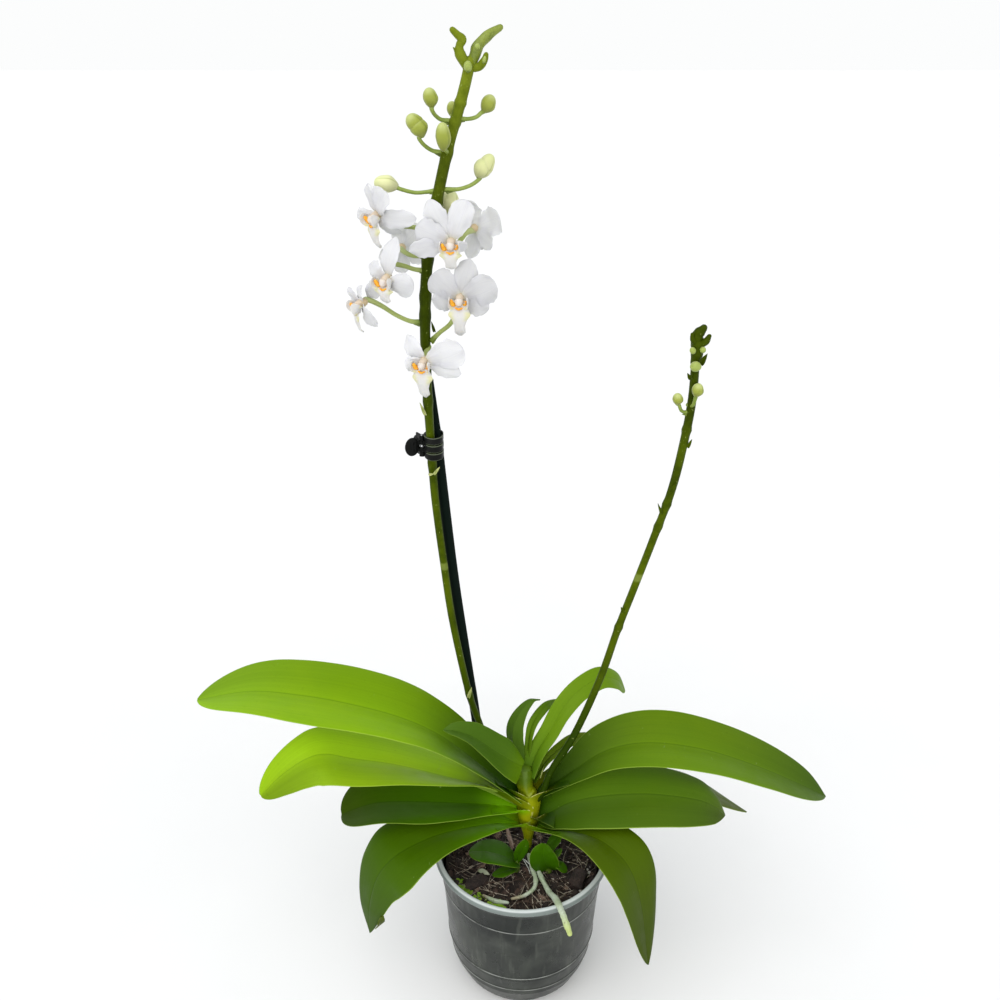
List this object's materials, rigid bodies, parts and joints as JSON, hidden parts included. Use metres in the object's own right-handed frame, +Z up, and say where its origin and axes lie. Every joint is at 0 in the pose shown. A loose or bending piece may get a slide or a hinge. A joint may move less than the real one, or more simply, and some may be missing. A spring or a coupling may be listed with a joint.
{
  "type": "potted orchid",
  "caption": "Live moth orchid in a ribbed clear pot of bark, with broad arching leaves, a flowering spike clipped to a slim stake, and a budding spike.",
  "frame": {"origin": "centre of the pot's underside, on the surface that the pot stands on", "axes": "+Z up along the pot's axis, +X to the right as seen from the front, +Y away from the front"},
  "size_m": [0.4164, 0.1297, 0.6162],
  "materials": {
    "clear_pot": "frosted clear polypropylene, wet inside, dark bark showing through",
    "bark_substrate": "damp bark, coir and moss, matt",
    "bark_chip": "broken pine bark, matt",
    "stem_green": "fleshy yellow-green leaf sheaths, waxy",
    "leaf_bright": "fleshy leaf, bright yellow-green, satin wax",
    "leaf_dark": "fleshy leaf, deep green, satin wax",
    "spike_green": "smooth green flower stem, satin",
    "bud_green": "pale yellow-green bud, satin",
    "petal_white": "thin white petal, matt, with a yellow-orange lip",
    "root_silver": "silver-green root skin, matt",
    "black_plastic": "black moulded plastic, satin",
    "steel_wire": "bright spring wire"
  },
  "bodies": {
    "plant": {"pot": "clear_pot", "substrate": "bark_substrate", "bark_chip_1": "bark_chip", "bark_chip_2": "bark_chip", "bark_chip_3": "bark_chip", "bark_chip_4": "bark_chip", "bark_chip_5": "bark_chip", "crown_stem": "stem_green", "leaf_1": "leaf_bright", "leaf_2": "leaf_bright", "leaf_3": "leaf_dark", "leaf_4": "leaf_dark", "leaf_5": "leaf_dark", "leaf_6": "leaf_dark", "leaf_7": "leaf_dark", "leaf_8": "leaf_dark", "leaf_9": "leaf_dark", "leaf_10": "leaf_dark", "leaf_11": "leaf_dark", "leaf_12": "leaf_dark", "leaf_13": "leaf_dark", "offset_left_stem": "stem_green", "offset_left_leaf_1": "leaf_dark", "offset_left_leaf_2": "leaf_dark", "offset_left_leaf_3": "leaf_dark", "offset_right_stem": "stem_green", "offset_right_leaf_1": "leaf_dark", "offset_right_leaf_2": "leaf_dark", "offset_right_leaf_3": "leaf_dark", "offset_right_leaf_4": "leaf_dark", "spike_main": "spike_green", "spike_second": "spike_green", "stake": "black_plastic", "flower_1": "petal_white", "flower_2": "petal_white", "flower_3": "petal_white", "flower_4": "petal_white", "flower_5": "petal_white", "flower_6": "petal_white", "flower_7": "petal_white", "flower_8": "petal_white", "bud_1": "bud_green", "bud_2": "bud_green", "bud_3": "bud_green", "bud_4": "bud_green", "bud_5": "bud_green", "bud_6": "bud_green", "bud_7": "bud_green", "bud_8": "bud_green", "bud_9": "bud_green", "bud_10": "bud_green", "root_1": "root_silver", "root_2": "root_silver", "root_3": "root_silver", "clip_back_jaw": "black_plastic", "clip_pin": "steel_wire", "clip_spring": "steel_wire"},
    "clip_front": {"clip_front_jaw": "black_plastic"}
  },
  "joints": [
    {"name": "clip_hinge", "type": "hinge", "parent": "plant", "child": "clip_front", "pos_m": [-0.0606, 0.0216, 0.396], "axis": [0, 0, -1], "range_deg": [0, 40], "stiffness_Nm_per_rad": 0.001, "springref_deg": -28.65}
  ]
}
